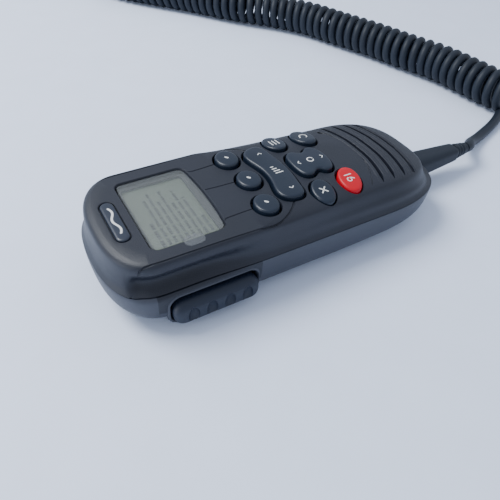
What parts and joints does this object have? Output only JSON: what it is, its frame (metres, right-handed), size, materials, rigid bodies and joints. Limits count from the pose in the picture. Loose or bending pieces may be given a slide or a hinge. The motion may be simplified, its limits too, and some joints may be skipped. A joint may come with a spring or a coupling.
{
  "type": "hand microphone",
  "caption": "Second-station marine radio hand microphone with display, keypad, side push-to-talk key, grille and curly cord ending in a locking plug",
  "frame": {"origin": "centre of the flat of the back that the handset lies on", "axes": "+X from the display end to the cord end, +Y away from the push-to-talk key, +Z out of the face"},
  "size_m": [0.3128, 0.4662, 0.0381],
  "materials": {
    "case": "fine-textured dark blue-grey moulding",
    "rear_case": "fine-textured dark blue-grey moulding",
    "rubber": "soft black silicone",
    "window": "clear hard-coated window",
    "film": "thin clear protective film",
    "lcd": "grey-green reflective display",
    "light_guide": "white moulding",
    "badge": "smooth satin inlay",
    "key": "satin blue-black key tops with light legends",
    "red_key": "satin red key top",
    "board": "green solder mask",
    "steel": "plain steel",
    "cloth": "black acoustic cloth",
    "ptt_rubber": "soft navy rubber with finger grooves",
    "cord_rubber": "smooth blue-black jacket",
    "plug_plastic": "black ribbed moulding",
    "plug_metal": "nickel-plated knurled ring",
    "brass": "bright contacts"
  },
  "bodies": {
    "handset": {"front_cover": "case", "rear_cover": "rear_case", "perimeter_seal": "rubber", "display_window": "window", "window_film": "film", "window_gasket": "rubber", "lcd_panel": "lcd", "lcd_light_guide": "light_guide", "badge": "badge", "keypad_mat": "rubber", "main_board": "board", "board_shield": "steel", "board_connector": "light_guide", "speaker_basket": "steel", "speaker_cone": "cloth", "speaker_magnet": "steel", "grille_cloth": "cloth", "microphone_capsule": "steel", "microphone_boot": "rubber", "ptt_bezel": "rear_case", "ptt_switch": "rubber", "case_screw_1": "steel", "case_screw_2": "steel", "case_screw_3": "steel", "case_screw_4": "steel", "hang_stud": "rear_case", "stud_screw": "steel", "strain_relief": "cord_rubber", "relief_collar": "cord_rubber", "cord_clamp": "steel", "lead_cord": "cord_rubber", "curly_cord": "cord_rubber", "tail_cord": "cord_rubber", "plug_body": "plug_plastic", "plug_contacts": "brass"},
    "soft_key_right_body": {"soft_key_right": "key"},
    "soft_key_centre_body": {"soft_key_centre": "key"},
    "soft_key_left_body": {"soft_key_left": "key"},
    "menu_key_body": {"menu_key": "key"},
    "clear_key_body": {"clear_key": "key"},
    "scan_key_body": {"scan_key": "key"},
    "red_key_body": {"red_key": "red_key"},
    "volume_body": {"volume_rocker": "key"},
    "channel_body": {"channel_rocker": "key"},
    "ptt_body": {"ptt_button": "ptt_rubber", "ptt_plunger": "light_guide"},
    "plug_ring_body": {"plug_ring": "plug_metal"}
  },
  "joints": [
    {"name": "soft_key_right_press", "type": "slide", "parent": "handset", "child": "soft_key_right_body", "axis": [0, 0, -1], "range_m": [0, 0.0008], "stiffness_N_per_m": 1500},
    {"name": "soft_key_centre_press", "type": "slide", "parent": "handset", "child": "soft_key_centre_body", "axis": [0, 0, -1], "range_m": [0, 0.0008], "stiffness_N_per_m": 1500},
    {"name": "soft_key_left_press", "type": "slide", "parent": "handset", "child": "soft_key_left_body", "axis": [0, 0, -1], "range_m": [0, 0.0008], "stiffness_N_per_m": 1500},
    {"name": "menu_key_press", "type": "slide", "parent": "handset", "child": "menu_key_body", "axis": [0, 0, -1], "range_m": [0, 0.0008], "stiffness_N_per_m": 1500},
    {"name": "clear_key_press", "type": "slide", "parent": "handset", "child": "clear_key_body", "axis": [0, 0, -1], "range_m": [0, 0.0008], "stiffness_N_per_m": 1500},
    {"name": "scan_key_press", "type": "slide", "parent": "handset", "child": "scan_key_body", "axis": [0, 0, -1], "range_m": [0, 0.0008], "stiffness_N_per_m": 1500},
    {"name": "red_key_press", "type": "slide", "parent": "handset", "child": "red_key_body", "axis": [0, 0, -1], "range_m": [0, 0.0008], "stiffness_N_per_m": 1500},
    {"name": "volume_rock", "type": "hinge", "parent": "handset", "child": "volume_body", "pos_m": [0.006, 0, 0.0314], "axis": [1, 0, 0], "range_deg": [-2.5, 2.5], "stiffness_Nm_per_rad": 0.6},
    {"name": "channel_rock", "type": "hinge", "parent": "handset", "child": "channel_body", "pos_m": [0.0244, 0, 0.0314], "axis": [0, 1, 0], "range_deg": [-4, 4], "stiffness_Nm_per_rad": 0.3},
    {"name": "ptt_press", "type": "slide", "parent": "handset", "child": "ptt_body", "axis": [0, 1, 0], "range_m": [0, 0.002], "stiffness_N_per_m": 1500},
    {"name": "plug_ring_turn", "type": "hinge", "parent": "handset", "child": "plug_ring_body", "pos_m": [0.2213, 0.406, 0.0105], "axis": [1, 0, 0], "continuous": true}
  ]
}
